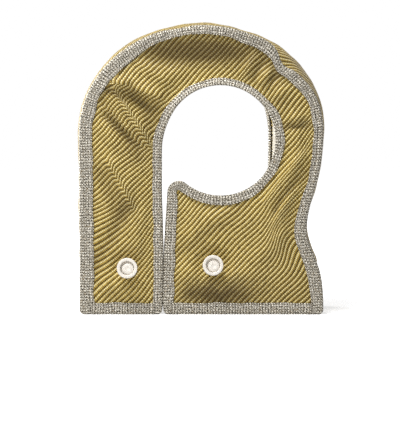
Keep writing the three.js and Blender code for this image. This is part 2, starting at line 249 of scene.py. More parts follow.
def kinks(x, y, z):
    """How far the front seam is pushed in, or out, where its tape is kinked."""
    front = smooth(-y, -0.8 * HALF_DEPTH, 0.8 * HALF_DEPTH)
    upper_right = 5.2 * bell(x, z, (68, 204), 8) - 1.2 * bell(x, z, (50, 216), 9)
    crown = 1.8 * bell(x, z, (-18, 231), 10)
    upper_left = 2.0 * bell(x, z, (-82, 184), 8) - 1.0 * bell(x, z, (-70, 200), 9)
    seamed = smooth(-y, 8, 36)
    return PINCH * front * bell(x, z, KINK, 18) + seamed * (upper_right + crown + upper_left)


def closed_slit(x, z):
    """The slit's two sides lean together, up to where the hole opens."""
    reach = smooth(-z, -102, -46) * smooth(z, 2, 9) * np.exp(-(((x - SLIT_MIDDLE) / 11) ** 2))
    return np.where(x < SLIT_MIDDLE, 0.49, -0.49) * (1 + 3.2 * np.clip(z, 0, 98) / 98) * reach


def rounded_feet(x, z):
    pull = CORNER - np.sqrt(CORNER**2 - np.clip(CORNER - z, 0, CORNER) ** 2)
    inwards = 0
    for foot, way in FEET:
        same_leg = (x < SLIT_MIDDLE) == (foot < SLIT_MIDDLE)
        inwards = inwards + way * np.exp(-(((x - foot) / 5) ** 2)) * same_leg
    return pull * inwards


def settle(points):
    x, y, z = points.T
    middle = np.cos(math.pi * y / (2 * HALF_DEPTH)) ** 2
    swell = SWELL * middle * smooth(z, 0.75 * SHOULDER, 1.3 * SHOULDER)
    lean = smooth(-y, 24, 37) * (4.2 * bell(x, z, (2, 226), 46, 13) + 1.6 * bell(x, z, (-74, 190), 14, 16))
    outward = np.stack([x - HEART[0], z - HEART[1]])
    outward = outward / np.maximum(np.hypot(*outward), 1e-6)
    pushed = kinks(x, y, z)
    towards = np.subtract(HEART, KINK) / math.dist(HEART, KINK)
    sideways = closed_slit(x, z) + rounded_feet(x, z) - WAIST * drawn_waist(x, y, z)
    return np.stack([
        x + outward[0] * swell + towards[0] * pushed + sideways,
        y - lean,
        z + outward[1] * swell + towards[1] * pushed,
    ], 1)


def wander(x, z, scale, seed):
    """Slow waves with no pattern to them, between about -1 and 1."""
    total = 0
    for i in range(5):
        angle = 2.4 * i + seed
        k = 2 * math.pi / scale * (0.7 + 0.25 * i)
        total = total + np.sin(k * (x * math.cos(angle) + z * math.sin(angle)) + 1.7 * seed * (i + 1))
    return total / 3


print("waist at the front", round(WAIST * float(drawn_waist(HALF_WIDTH, -HALF_DEPTH, WAIST_Z)), 1))

# %% [markdown]
# ## The twill cloth
# The outer cloth is a coarse twill: its yarns lie in steep diagonal ribs, about three millimetres apart.
# Paint or bump alone would leave a smooth outline, so the ribs are real here. The grid is cut
# at the ribs' own angle, with five rows of points to each rib, and every rib then follows the cloth
# over its folds as yarn does. The flat cut's own coordinates become the UV map that the weave is drawn on.

# %% Ribs
RIB = 3.25
RIB_HEIGHT = 0.28
RIB_TURN = math.radians(45)
CLOTH_STEP = (1.8, RIB / 5)
CLOTH_THICK = 0.7


def normals(mesh):
    found = np.empty(len(mesh.vertices) * 3)
    mesh.vertex_normals.foreach_get("vector", found)
    return found.reshape(-1, 3)


def raise_ribs(mesh, across, amount):
    """Moves the points out along the cloth's own normals, to rounded ribs with sharp valleys."""
    phase = np.mod(across / RIB, 1.0)
    height = 1 - np.abs(2 * phase - 1) ** 1.7
    write(mesh, read(mesh) + normals(mesh) * (RIB_HEIGHT * amount * height)[:, None])


def draw_uv(mesh, own, name="weave"):
    """Stores the flat cut's own coordinates, in millimetres, as the UV map."""
    corners = np.empty(len(mesh.loops), int)
    mesh.loops.foreach_get("vertex_index", corners)
    mesh.uv_layers.new(name=name).data.foreach_set("uv", own[corners].ravel())


def mark_shade_and_tone(mesh, amount):
    """Stores how much darker the cloth is painted: shade in its folds and other shaded places, or a random
    tone.
    """
    layer = mesh.attributes.new("stain", "FLOAT", "POINT")
    values = np.clip(amount, 0, 1) * np.ones(len(mesh.vertices))
    layer.data.foreach_set("value", values)


def finish(piece, nodes, thick=None, flip=False):
    """Brings a piece to metres, gives it its thickness inwards, and sets it on the frame."""
    mesh = piece.data
    if flip:
        mesh.flip_normals()
    write(mesh, read(mesh) * MM)
    mesh.polygons.foreach_set("use_smooth", np.ones(len(mesh.polygons), bool))
    if thick:
        wall = piece.modifiers.new("thickness", "SOLIDIFY")
        wall.thickness = thick * MM
        wall.offset = -1
    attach(piece, "root")
    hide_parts(*nodes)
    sides = 2 if thick else 1
    print(piece.name, "faces", sides * len(mesh.polygons))


print("ribs across a panel", round(2 * HALF_WIDTH / (RIB / math.cos(RIB_TURN))))

# %% [markdown]
# ## The front
# The front is sewn down round its whole edge and padded in between, so it stands a little proud of its
# tapes and dips at the studs. It also holds the creases of having been folded and packed. A cloth
# simulation would make creases somewhere, and these have their places, so each is laid in one by one:
# a line, a width and a height, with a softer side and a steeper one.

# %% Creases of the front
CLOTH_Y = -38.9
CUT = 2.6  # from a finished edge to the cut edge of the cloth inside its tape
STUDS = [(-59.3, 36.7), (9.2, 39.0)]
TIP = math.radians(8)  # the springs have tipped the studs up
DIMPLE = (7.5, 19)  # the cloth is held down inside the first radius, and free outside the second
SLIP = 1.3  # how far a crease's cloth slips along it, for each millimetre gathered in

# From (x, z) to (x, z), then width, height, how steep the lower side is, and the cloth gathered in.
FRONT_CREASES = [
    ((-80, 190), (-35, 174), 4.4, 4.2, 0.4, 1.2),
    ((-77, 182), (-40, 166), 5, -2.2, 0, 0),
    ((-69, 179), (-40, 133), 4.2, 4.4, 0.3, 3.2),
    ((-79, 171), (-52, 128), 5, -2, 0, 0.4),
    ((-57, 182), (-34, 147), 5, -1.6, 0, 0.4),
    ((-77, 158), (-51, 135), 3, -1.8, 0, 1.2),
    ((-78, 166), (-60, 150), 2.4, 1.6, 0, 1),
    ((-74, 188), (-60, 186), 2.4, 2.4, 0.2, 1.4),
    ((-76, 182), (-63, 172), 2.6, -1.6, 0, 1),
    ((-80, 149), (-56, 127), 5, 1.6, 0, 0.4),
    ((-72, 119), (-58, 91), 4, 3.8, 0.4, 2.2),
    ((-80, 112), (-66, 84), 6, -2, 0, 0),
    ((-58, 88), (-84, 42), 6.5, -2, 0, 0),
    ((-44, 84), (-66, 28), 8, 1.8, 0, 0),
    ((-36, 204), (38, 204), 9, -1.8, 0, 0),
    ((-52, 204), (-30, 188), 5, 1.8, 0.2, 0.6),
    ((46, 214), (31, 188), 4, 2.8, 0.2, 1.4),
    ((54, 210), (42, 190), 3, -1.8, 0, 0.4),
    ((62, 203), (48, 186), 3, 2.4, 0.2, 1),
    ((68, 199), (58, 190), 3.4, -2.4, 0, 0.4),
    ((76, 188), (58, 174), 4, 2.2, 0.3, 0.8),
    ((64, 149), (91, 153), 2.6, -2.6, 0.2, 0.8),
    ((66, 156), (90, 160), 3.4, 2.2, 0, 0.4),
    ((82, 126), (54, 94), 4.6, 2.6, 0.3, 2),
    ((88, 116), (66, 86), 4, -1.8, 0, 0),
    ((86, 102), (66, 76), 4, 2, 0.3, 1),
    ((44, 98), (-6, 62), 8, 1.6, 0, 0),
    ((30, 84), (-14, 52), 7, -1.2, 0, 0),
    ((-18, 33), (36, 31), 8, 3.4, 0, 0),
    ((-6, 14), (32, 13), 7, -1.8, 0, 0),
    ((76, 66), (38, 42), 8, 1.6, 0, 0),
]


def frame_of(x, z, line):
    """How far points lie across a crease and past its ends, and which way across is."""
    (x0, z0), (x1, z1) = line[:2]
    length = math.hypot(x1 - x0, z1 - z0)
    ux, uz = (x1 - x0) / length, (z1 - z0) / length
    along = (x - x0) * ux + (z - z0) * uz
    across = (x - x0) * uz - (z - z0) * ux
    past = np.maximum(0, np.maximum(-along, along - length))
    return across, past, (uz, -ux)


def crease(x, z, line):
    """The height of a crease: round on one side and steeper on the other."""
    width, height, lean = line[2:5]
    across, past, _ = frame_of(x, z, line)
    wide = width * (1 - lean * np.tanh(across / width))
    return height * np.exp(-((across / wide) ** 2) - (past / (1.6 * width)) ** 2)


def gather(flat, lines):
    """A crease takes up cloth and slips along its own line, so the ribs that cross it bend."""
    x, z = flat.T
    moved = flat.copy()
    for line in lines:
        width, gathered = line[2], line[5]
        across, past, side = frame_of(x, z, line)
        end = (past / (2 * width)) ** 2
        drawn = gathered * np.tanh(across / width) * np.exp(-((across / (3 * width)) ** 2) - end)
        slipped = SLIP * gathered * np.exp(-((across / (0.7 * width)) ** 2) - end)
        moved -= drawn[:, None] * np.array(side) + slipped[:, None] * np.array([side[1], -side[0]])
    return moved


def ease_front(flat):
    """The cloth's own grain isn't true: the ribs curve on the left leg and fan out on the right."""
    x, z = gather(flat, FRONT_CREASES).T
    left = smooth(-x, 26, 34) * np.exp(-(((z - 48) / 42) ** 2))
    right = np.exp(-(((z - 138) / 34) ** 2)) * smooth(x, 50, 62)
    z = z + 0.0125 * (x + 62) ** 2 * left + 0.008 * (x - 62) ** 2 * right
    top = 0.06 * (x - 10) * smooth(z, 150, 190) * smooth(x, -20, 40)
    return np.stack([x + 0.9 * wander(x, z, 70, 9), z + 1.3 * wander(x, z, 60, 10) + top], 1)


def folds_hold(x, z, lines):
    """How deep in a fold each point lies."""
    return sum(np.maximum(0, -crease(x, z, line)) for line in lines if line[3] < 0) / 2.4


def room_on(opening, flat):
    """How far each point of a panel lies from the nearest tape."""
    return np.minimum.reduce([
        seam.distance(flat) - SEAM_TAPE,
        opening.distance(flat) - EDGE_TAPE,
        flat[:, 1] - HEM_TAPE,
    ])


def freed(room):
    """How free the padding is to rise, and the cloth to fold, at a distance from the seams."""
    rise = 1 - np.exp(-((np.maximum(room, 0) / 9) ** 2))
    loose = 1 - np.exp(-((np.maximum(room + 2, 0) / 7) ** 2))
    return rise, loose


def front_swell(flat, room):
    """How far the front's cloth stands out from its seams."""
    x, z = flat.T
    rise, loose = freed(room)
    pad = (3.0 + 0.5 * wander(x, z, 70, 1)) * (1 - 0.9 * bell(x, z, (0, 207), 44, 12))
    folds = sum(crease(x, z, line) for line in FRONT_CREASES)
    pucker = 0.35 * np.exp(-np.maximum(room, 0) / 7) * wander(x, z, 16, 4)
    lift = rise * pad + loose * (folds + 0.25 * wander(x, z, 28, 2) + pucker)
    for stud_x, stud_z in STUDS:
        held = smooth(np.hypot(x - stud_x, z - stud_z), *DIMPLE)
        lift = lift * held - (1 - held) * (z - stud_z) * math.tan(TIP)
    return lift


gathered_in = sum(line[5] for line in FRONT_CREASES)
print("creases of the front", len(FRONT_CREASES), "with", round(gathered_in, 1), "mm gathered in")

# %% [markdown]
# The cloth ends inside its tapes, and its ribs rise from the first millimetre clear of them. Shade is
# painted darker into its deepest folds, under the tape at the top, and at the foot right of the slit.


# %% Front cloth
def panel_keeps(opening, inset):
    def keep(flat):
        sewn = seam.holds(flat) & ~opening.holds(flat) & (flat[:, 1] > inset)
        near = np.minimum(seam.distance(flat), opening.distance(flat))
        return sewn & (near > inset)

    return keep


PANEL = ((-HALF_WIDTH, 0), (HALF_WIDTH, SHOULDER + CROWN_RISE))


def cloth_panel(face, opening, side, ease, swell, stain):
    """A face of the blanket: cut, laid over its padding, ribbed and painted with shade."""
    keep = panel_keeps(opening, CUT)
    piece, own, flat = flat_cut(face + "_cloth_sewn", *PANEL, CLOTH_STEP, RIB_TURN, keep, ease)
    room = room_on(opening, flat)
    y = side * (CLOTH_Y - swell(flat, room))
    write(piece.data, settle(np.stack([flat[:, 0], y, flat[:, 1]], 1)))
    if side < 0:
        piece.data.flip_normals()
    raise_ribs(piece.data, own[:, 1], smooth(room, -1.5, 1.0))
    draw_uv(piece.data, own)
    mark_shade_and_tone(piece.data, stain(*flat.T))
    finish(piece, [face + "_cloth"], CLOTH_THICK)


def front_painted_shade(x, z):
    # Painted shade: in the folds, in a band under the top tape, and on the foot where the cloth faces
    # down.
    shade_under_tape = 1.3 * bell(x, z, (-4, 213), 42, 9) + 0.5 * bell(x, z, (62, 200), 9, 8)
    foot = 0.8 * bell(x, z, (11, 19), 26, 10) * (1 + 0.3 * wander(x, z, 22, 5))
    return 0.55 * folds_hold(x, z, FRONT_CREASES) + shade_under_tape + foot


cloth_panel("front", hole, 1, ease_front, front_swell, front_painted_shade)

# %% [markdown]
# ## The back
# The back is a horseshoe with an arched opening. It is made in the front's place, with creases of its
# own, and then turned to face the other way.

# %% Back cloth
BACK_STUDS = [(-49.5, 37.0), (72.3, 37.0)]
BACK_CREASES = [
    ((-78, 192), (-44, 168), 6, 2.4, 0.3, 1.2),
    ((-84, 120), (-48, 92), 6, 1.8, 0.3, 1.4),
    ((-82, 70), (-56, 62), 5, 1.3, 0, 0.6),
    ((-40, 214), (34, 216), 7, 1.8, 0.2, 0),
    ((84, 178), (64, 152), 6, 2, -0.2, 1.2),
    ((88, 112), (70, 84), 5, 1.5, 0.2, 0.8),
    ((-84, 104), (-54, 80), 6, -1.4, 0, 0),
    ((-76, 180), (-48, 156), 5, -1.4, 0, 0),
]


def ease_back(flat):
    x, z = gather(flat, BACK_CREASES).T
    return np.stack([x + 0.9 * wander(x, z, 70, 11), z + 1.3 * wander(x, z, 60, 12)], 1)


def back_swell(flat, room):
    x, z = flat.T
    rise, loose = freed(room)
    folds = sum(crease(x, z, line) for line in BACK_CREASES)
    pucker = 0.35 * np.exp(-np.maximum(room, 0) / 7) * wander(x, z, 17, 6)
    lift = rise * (3.0 + 0.5 * wander(x, z, 65, 3)) + loose * (folds + 0.3 * wander(x, z, 30, 5) + pucker)
    for stud_x, stud_z in BACK_STUDS:
        lift = lift * smooth(np.hypot(x - stud_x, z - stud_z), *DIMPLE)
    return lift


def back_painted_shade(x, z):
    # Painted shade in the folds.
    return 0.4 * folds_hold(x, z, BACK_CREASES)


cloth_panel("back", arch, -1, ease_back, back_swell, back_painted_shade)

# %% [markdown]
# ## The rim
# The rim is one long strip. It lies flat in the front seam, swells out over its felt, and goes flat
# again in the back seam. So its section is a short line of places, and the strip's own two coordinates
# are the length along the seam and the distance round that section.

# %% The rim's section
RIM_END = 34.8
RIM_FOOT = 9.0
RIM_BULGE = 11.5
FELT = 8.0


class Section(Line):
    """A line of places (out, y) with its corners rounded."""

    def __init__(self, places, rounding=2.0):
        super().__init__(places, 4)
        width = max(1, int(4 * rounding))
        padded = np.pad(self.points, ((width, width), (0, 0)), mode="edge")
        kernel = np.ones(2 * width + 1) / (2 * width + 1)
        self.line = np.stack([np.convolve(padded[:, i], kernel, "valid") for i in (0, 1)], 1)

    def place(self, g):
        return self.look_up(g, self.line)


def rim_wall(under, padding):
    """The wall's places, under so much cloth and so much felt."""
    y = np.linspace(-RIM_END, RIM_END, 60)
    t = np.cos(math.pi * y / (2 * RIM_END))
    return list(zip(-RIM_FOOT - under + RIM_BULGE * t - padding * np.sqrt(t), y))


def strip_in_space(section, flat, under, extra=0.0):
    """Bends a flat strip round the seam, under so much cloth. Near the floor the wall is straight."""
    s, g = flat.T
    out, y = section.place(g)
    wall = smooth(np.abs(y), RIM_END, RIM_END - 3)
    lift = np.minimum(s, seam.length - s)
    fade = smooth(lift, 12, 46)
    out = out - wall * (1 - fade) * (out + RIM_FOOT + under) + extra * wall
    x, z = seam.place(s, out).T
    return np.stack([x, y, z], 1)


print("rim wall", round(max(out for out, _ in rim_wall(0, 0)), 1), "mm out from its seam at most")

# %% [markdown]
# The strip is cut at the ribs' angle too, and its ribs stand lower, because the wall is stretched
# over the felt. It swells most at the upper right, and puckers a little along both seams.


# %% Rim cloth
rim_section = Section([(-CUT, -RIM_END), *rim_wall(0, 0), (-CUT, RIM_END)])
STRIP = ((0, 0), (seam.length, rim_section.length))


def strip_keeps(flat):
    s, g = flat.T
    return (s > CUT) & (s < seam.length - CUT) & (g > 0) & (g < rim_section.length)


rim_cloth, own, flat = flat_cut("rim_cloth_sewn", *STRIP, CLOTH_STEP, RIB_TURN, strip_keeps)
s, g = flat.T
from_seam = np.minimum(g, rim_section.length - g) - (RIM_FOOT - CUT)
soft = smooth(from_seam, 0, 12) * smooth(np.minimum(s, seam.length - s), 10, 30)
pucker = np.exp(-np.maximum(from_seam, 0) / 9) * smooth(from_seam, 0, 4) * wander(s, 0.4 * g, 15, 2)
upper_right = 2.6 * np.exp(-(((s - 0.655 * seam.length) / 22) ** 2))
uneven = soft * (0.6 * wander(s, g, 60, 7) + 0.3 * wander(s, g, 24, 8) + upper_right) + 0.6 * pucker
shape = settle(strip_in_space(rim_section, flat, 0, uneven))
write(rim_cloth.data, shape)
stretched_ribs = 0.6 * smooth(from_seam, -1, 2) * smooth(np.minimum(s, seam.length - s), 8, 10)
raise_ribs(rim_cloth.data, own[:, 1], stretched_ribs)
draw_uv(rim_cloth.data, own)
# The rim only gets a random darker tone.
mark_shade_and_tone(rim_cloth.data, 0.25 * np.abs(wander(s, g, 50, 3)))
finish(rim_cloth, ["rim_cloth"], CLOTH_THICK)

# %% [markdown]
# ## The linings and the felt
# Inside, a pale lining closes each pad. It leaves the seam's tape and steps in over the felt. The felt
# itself is hidden, and each mat is a plain soft pad that fills the space between cloth and lining.

# %% Linings
LINING_Y = -37.3
LINING_IN = 8.6
LINING_THICK = 0.5
LINING_STEP = (2.5, 2.5)


def lining_panel(name, opening, side, node, seed):
    piece, _, flat = flat_cut(name, *PANEL, LINING_STEP, 0, panel_keeps(opening, CUT))
    room = room_on(opening, flat)
    x, z = flat.T
    step = 1 - np.exp(-((np.maximum(room, 0) / 5) ** 2))
    y = LINING_Y + step * (LINING_IN + 0.35 * wander(x, z, 26, seed))
    write(piece.data, settle(np.stack([x, side * y, z], 1)))
    draw_uv(piece.data, flat)
    finish(piece, [node], LINING_THICK, flip=side < 0)
    piece.modifiers["thickness"].offset = 0


lining_panel("front_lining_sewn", hole, 1, "front_lining", 2)
lining_panel("back_lining_sewn", arch, -1, "back_lining", 5)

LINING_UNDER = 1.9  # below the outside of the rim's cloth
LINING_END = RIM_END + 1.4
lining_wall = rim_wall(LINING_UNDER, FELT)
lining_section = Section([(-CUT, -LINING_END), *lining_wall, (-CUT, LINING_END)], 1.0)
LINING_STRIP = ((CUT, 0), (seam.length - CUT, lining_section.length))
rim_lining, _, flat = flat_cut("rim_lining_sewn", *LINING_STRIP, LINING_STEP)
write(rim_lining.data, settle(strip_in_space(lining_section, flat, LINING_UNDER)))
draw_uv(rim_lining.data, flat)
finish(rim_lining, ["rim_lining"], LINING_THICK, flip=True)

# %% [markdown]
# The felt is needled glass fibre. Each mat is a coarse grid under its cloth, the front's and back's
# with the same swell and creases. It stops short of the tapes, where cloth and lining are sewn.


# %% Felt
MAT_THICK = 5.5
MAT_UNDER = 2.4  # below the cloth, so that the coarse mat stays under its sharp valleys


def felt_mat(piece, points, node, thick):
    """A soft mat behind a cloth, as a coarse grid with a thickness."""
    write(piece.data, settle(points))
    finish(piece, [node], thick)


def panel_mat(name, opening, side, swell, node):
    def keep(flat):
        return panel_keeps(opening, 0)(flat) & (room_on(opening, flat) > 6)

    piece, _, flat = flat_cut(name, *PANEL, (4.0, 4.0), 0, keep)
    y = side * (CLOTH_Y - swell(flat, room_on(opening, flat)) + MAT_UNDER)
    if side < 0:
        piece.data.flip_normals()
    felt_mat(piece, np.stack([flat[:, 0], y, flat[:, 1]], 1), node, MAT_THICK)


panel_mat("front_felt_mat", hole, 1, front_swell, "front_felt")
panel_mat("back_felt_mat", arch, -1, back_swell, "back_felt")

RIM_MAT_UNDER = 1.6
FELT_FOOT = 30  # the mat stops this far above the floor
felt_section = Section(rim_wall(RIM_MAT_UNDER, 0)[10:-10], 1.0)
FELT_STRIP = ((FELT_FOOT, 0), (seam.length - FELT_FOOT, felt_section.length))
rim_felt, _, flat = flat_cut("rim_felt_mat", *FELT_STRIP, (5.0, 4.0))
felt_mat(rim_felt, strip_in_space(felt_section, flat, RIM_MAT_UNDER), "rim_felt", 5.0)

# %% [markdown]
# ## The tape
# Every raw edge is bound with tape, a tube of knitted wire mesh rolled flat. It is folded round
# the edge and sewn through. So each tape is a strip whose two coordinates are the length along the edge
# and the way across the tape: down the near leg, round the fold, and along the far leg. The inner
# edge wanders a little, and the line of stitches pulls the tape down.

# %% Folded tapes
TAPE_STEP = (1.4, 0.8)
TAPE_THICK = 0.6
TAPE_Y = -40.0
SEAM_FAR = -33.7
EDGE_FAR = -35.9
FOLD = 2.6  # how far in from the edge the fold is round
STITCH = 2.4  # from the tape's inner edge to its stitches
STITCH_STEP = 3.2
GROOVE = 0.9  # half the width of the groove that stitches draw


def folded(near_width, far_width, near, far):
    """The section of a folded tape, as places (in from the edge, y)."""
    middle, half = (near + far) / 2, (far - near) / 2
    bend = min(FOLD, half)
    turns = np.radians(np.linspace(-90, 90, 11))
    fold = [(bend * (1 - math.cos(a)), middle + half * math.sin(a)) for a in turns]
    return Section([(near_width, near), *fold, (far_width, far)], 0.3)


def tape(name, edge, inward, side, section, node, width, seed, ends=0.0, place=None, grooves=()):
    """A tape folded round an edge. width(s) is how far its near leg reaches in."""
    piece, _, flat = flat_cut(name, (0, 0), (edge.length, section.length), TAPE_STEP)
    s, g = flat.T
    deep, y = section.place(g)
    near_width = section.line[0][0]
    near = smooth(y, *sorted((section.line[-1][1], section.line[0][1]))) < 0.5
    wave = 0.45 * wander(s, 0 * s, 21, seed)
    reach_in = np.clip(width(s), 3, 14) + wave
    stretch = np.where(near, (reach_in - FOLD) / (near_width - FOLD), 1.0)
    deep = np.minimum(deep, FOLD) + np.maximum(deep - FOLD, 0) * stretch
    from_inner = reach_in - deep
    each_stitch = 0.75 + 0.25 * np.cos(s * 2 * math.pi / STITCH_STEP)
    dent = np.exp(-(((from_inner - STITCH) / GROOVE) ** 2)) * each_stitch
    plump = 0.35 * (0.4 + wander(s, g, 19, seed + 1)) + 0.25 * wander(s, g, 8, seed + 2)
    for start, stop, inset, depth in grooves:
        held = smooth(s, start - 12, start + 12) * smooth(-s, -stop - 12, -stop + 12)
        dent = dent + held * depth * np.exp(-(((deep - inset) / GROOVE) ** 2))
    lift = np.where(near, plump * np.minimum(1, deep / 2) - 0.35 * dent, 0.0)
    lap = ends * (smooth(s, 5, 1) + smooth(s, edge.length - 5, edge.length - 1))
    y = side * (y - lift - lap * near)
    x, z = edge.place(s, inward * deep).T
    points = settle(np.stack([x, y, z], 1)) if place is None else place(np.stack([x, y, z], 1))
    write(piece.data, points)
    uv = np.stack([s, np.where(near, from_inner, reach_in + g - near_width)], 1)
    draw_uv(piece.data, uv)
    finish(piece, [node], TAPE_THICK, flip=(inward > 0) != (side < 0))


def even(width):
    """The same width all along."""
    return lambda s: 0 * s + width


def at(edge, x, z):
    """How far along an edge a place lies."""
    return edge.at[np.argmin(np.hypot(edge.points[:, 0] - x, edge.points[:, 1] - z))]


# How far the front seam's tape reaches in, at places along it.
SEAM_WIDTHS = [
    ((-98, 10), 12), ((-98, 60), 11.6), ((-98, 140), 10.8), ((-90, 180), 10.2), ((-66, 209), 11.4),
    ((-40, 224), 8.4), ((-8, 231), 6.8), ((30, 228), 8.2), ((52, 218), 9.2), ((72, 203), 7.6),
    ((97, 155), 8.4), ((98, 110), 8.0), ((98, 75), 9.6), ((98, 50), 11.2), ((98, 10), 10.6),
]


def seam_width(s):
    stops = [at(seam, *place) for place, width in SEAM_WIDTHS]
    return np.interp(s, stops, [width for place, width in SEAM_WIDTHS])


def hole_width(s):
    _, z = hole.place(s, 0 * s).T
    top = smooth(z, 150, 178)
    slit = smooth(z, 100, 90) * smooth(s, hole.length / 2, hole.length / 2 + 1)
    return 7.4 - 1.6 * top + 1.2 * slit


seam_section = folded(SEAM_TAPE, 7.5, TAPE_Y, SEAM_FAR)
edge_section = folded(EDGE_TAPE, EDGE_TAPE, TAPE_Y, EDGE_FAR)
hem_section = folded(HEM_TAPE, HEM_TAPE, TAPE_Y, EDGE_FAR)
SEAM_GROOVES = [
    (at(seam, 80, 190), at(seam, 98, 118), 4.4, 2.6),
    (at(seam, -98, 60), at(seam, -96, 165), 5.6, 1.3),
]
node, grooves = "front_seam_tape", SEAM_GROOVES
tape("front_seam_binding", seam, -1, 1, seam_section, node, seam_width, 1, grooves=grooves)
tape("back_seam_binding", seam, -1, -1, seam_section, "back_seam_tape", even(10), 4)
tape("hole_binding", hole, 1, 1, edge_section, "hole_tape", hole_width, 7)
arch_section = folded(EDGE_TAPE, 2.2, TAPE_Y, EDGE_FAR)
tape("arch_binding", arch, 1, -1, arch_section, "arch_tape", even(7.6), 10)

# %% [markdown]
# Short tapes close the pads at the floor. The front's and back's lie over the ends of the long tapes,
# so their ends stand up a little. The rim's are the same strips, turned to face sideways.

# %% Hems
HEM_WIDTH = 9.4
HEMS = [
    ("front_left", -88.0, -38.0, 1, 13),
    ("front_right", -24.0, 88.0, 1, 16),
    ("back_left", -88.0, -40.5, -1, 19),
    ("back_right", 65.5, 88.0, -1, 22),
]
for name, left, right, side, seed in HEMS:
    line = Edge([(left, 0), (right, 0)])
    node, width = name + "_hem", even(HEM_WIDTH)
    tape(node + "_binding", line, 1, side, hem_section, node, width, seed, ends=0.9)

RIM_HEM_NEAR, RIM_HEM_FAR, RIM_HEM_HALF = -90.1, -85.7, 34.0
rim_hem_section = folded(HEM_TAPE, HEM_TAPE, RIM_HEM_NEAR, RIM_HEM_FAR)


def facing_out(side):
    """Turns a hem from the front's plane to a side's."""
    return lambda points: np.stack([points[:, 1], -side * points[:, 0], points[:, 2]], 1)


for name, side in (("rim_left", 1), ("rim_right", -1)):
    line = Edge([(-RIM_HEM_HALF, 0), (RIM_HEM_HALF, 0)])
    node, width = name + "_hem", even(HEM_WIDTH)
    tape(node + "_binding", line, 1, side, rim_hem_section, node, width, 25 + side, place=facing_out(side))

# %% [markdown]
# ## The studs
# Springs hook over four lacing studs that close the blanket. A stud is a pressed cup with a
# broad lip, held by a rivet through a washer inside. Each one is a profile spun round its axis, and the
# pull of the springs has left them tipped up a little.


# %% Studs
STUD_SEAT = 39.2  # how far the cup's base is from the blanket's middle plane


def spin(stud, part, profile, place, tip, facing, steps=72):
    """Spins a profile of (radius, height) round the stud's axis. One that stays off the axis is a ring."""
    bm = bmesh.new()
    line = [bm.verts.new((r, 0, h)) for r, h in profile]
    edges = [bm.edges.new(pair) for pair in zip(line, line[1:])]
    if profile[0][0] > 0:
        edges.append(bm.edges.new((line[-1], line[0])))
    bmesh.ops.spin(bm, geom=line + edges, cent=(0, 0, 0), axis=(0, 0, 1), angle=2 * math.pi,
                   steps=steps, use_merge=True)
    bmesh.ops.remove_doubles(bm, verts=bm.verts, dist=1e-4)
    bmesh.ops.recalc_face_normals(bm, faces=bm.faces)
    piece = add_mesh(stud + "_" + part, bm)
    x, y, h = read(piece.data).T
    c, s = math.cos(tip), math.sin(tip)
    out, up = h * c - y * s, h * s + y * c
    write(piece.data, np.stack([place[0] + x, facing * (STUD_SEAT + out), place[1] + up], 1))
    if facing > 0:
        piece.data.flip_normals()
    finish(piece, [f"{stud}_stud_{part}"])


def rounded(profile, radius, steps=4):
    """Rounds the corners of a closed profile."""
    result = []
    count = len(profile)
    for i, point in enumerate(profile):
        p = np.array(point, float)
        before, after = np.array(profile[i - 1], float), np.array(profile[(i + 1) % count], float)
        a, b = before - p, after - p
        la, lb = np.hypot(*a), np.hypot(*b)
        r = min(radius, la / 2.2, lb / 2.2)
        start, end = p + a / la * r, p + b / lb * r
        for t in np.linspace(0, 1, steps):
            result.append(tuple((1 - t) ** 2 * start + 2 * t * (1 - t) * p + t * t * end))
    return result


CUP = [
    (2.3, 0), (7, 0), (7, 0.8), (6.3, 1.1), (6.3, 7.6), (6.8, 8.1), (8.2, 8.1), (8.2, 9.0),
    (6.0, 9.0), (5.5, 8.4), (5.5, 5.4), (2.3, 5.4),
]
PIN = [
    (0, -18.4), (3.4, -18.1), (4.2, -17.5), (4.2, -13.3), (2, -13.3), (2, 5.5), (4.2, 5.5),
    (4.7, 5.8), (4.7, 7.5), (4.3, 7.9), (1.6, 8.0), (1.1, 7.8), (0, 7.7),
]
WASHER = [(2.3, -11.8), (8, -11.8), (8, -10.8), (2.3, -10.8)]
ALL_STUDS = [
    ("front_left", STUDS[0], -1), ("front_right", STUDS[1], -1),
    ("back_left", BACK_STUDS[0], 1), ("back_right", BACK_STUDS[1], 1),
]
for name, place, facing in ALL_STUDS:
    tip = TIP if facing < 0 else TIP / 2
    spin(name, "cup", rounded(CUP, 0.45), place, tip, facing)
    settled = (place[0] + 0.5, place[1] - 0.5)  # the rivet has slipped to one side of its cup
    spin(name, "pin", PIN, settled, tip, facing, 48)
    spin(name, "washer", rounded(WASHER, 0.3, 3), place, 0, facing, 48)

# %% [markdown]
# ## Finishes
# The yarns are drawn by arithmetic on the flat cut's millimetres. A small class lets a shader's
# numbers be added and multiplied as they are on paper, and makes every other node in one way.


# %% Shader sums
class Number:
    """A number in a shader."""

    def __init__(self, look, socket):
        self.look, self.socket = look, socket

    def sum(self, kind, *others):
        node = self.look.nodes.new("ShaderNodeMath")
        node.operation = kind
        for slot, value in zip(node.inputs, (self, *others)):
            self.look.feed(slot, value)
        return Number(self.look, node.outputs[0])

    def __add__(self, other):
        return self.sum("ADD", other)

    def __mul__(self, other):
        return self.sum("MULTIPLY", other)

    def __sub__(self, other):
        return self.sum("SUBTRACT", other)

    def __truediv__(self, other):
        return self.sum("DIVIDE", other)

    def __rsub__(self, other):
        return (self * -1) + other

    def __rtruediv__(self, other):
        return self.sum("POWER", -1) * other

    def __pow__(self, other):
        return self.sum("POWER", other)

    __radd__, __rmul__ = __add__, __mul__

    def ramp(self, low, high):
        """0 below low and 1 above high, smooth between."""
        node = self.look.nodes.new("ShaderNodeMapRange")
        node.interpolation_type = "SMOOTHSTEP"
        for slot, value in zip(("Value", "From Min", "From Max"), (self, low, high)):
            self.look.feed(node.inputs[slot], value)
        return Number(self.look, node.outputs[0])

    def wave(self):
        """A triangle wave: 0 at whole numbers and 1 half way."""
        return 1 - (self.sum("FRACT") * 2 - 1).sum("ABSOLUTE")


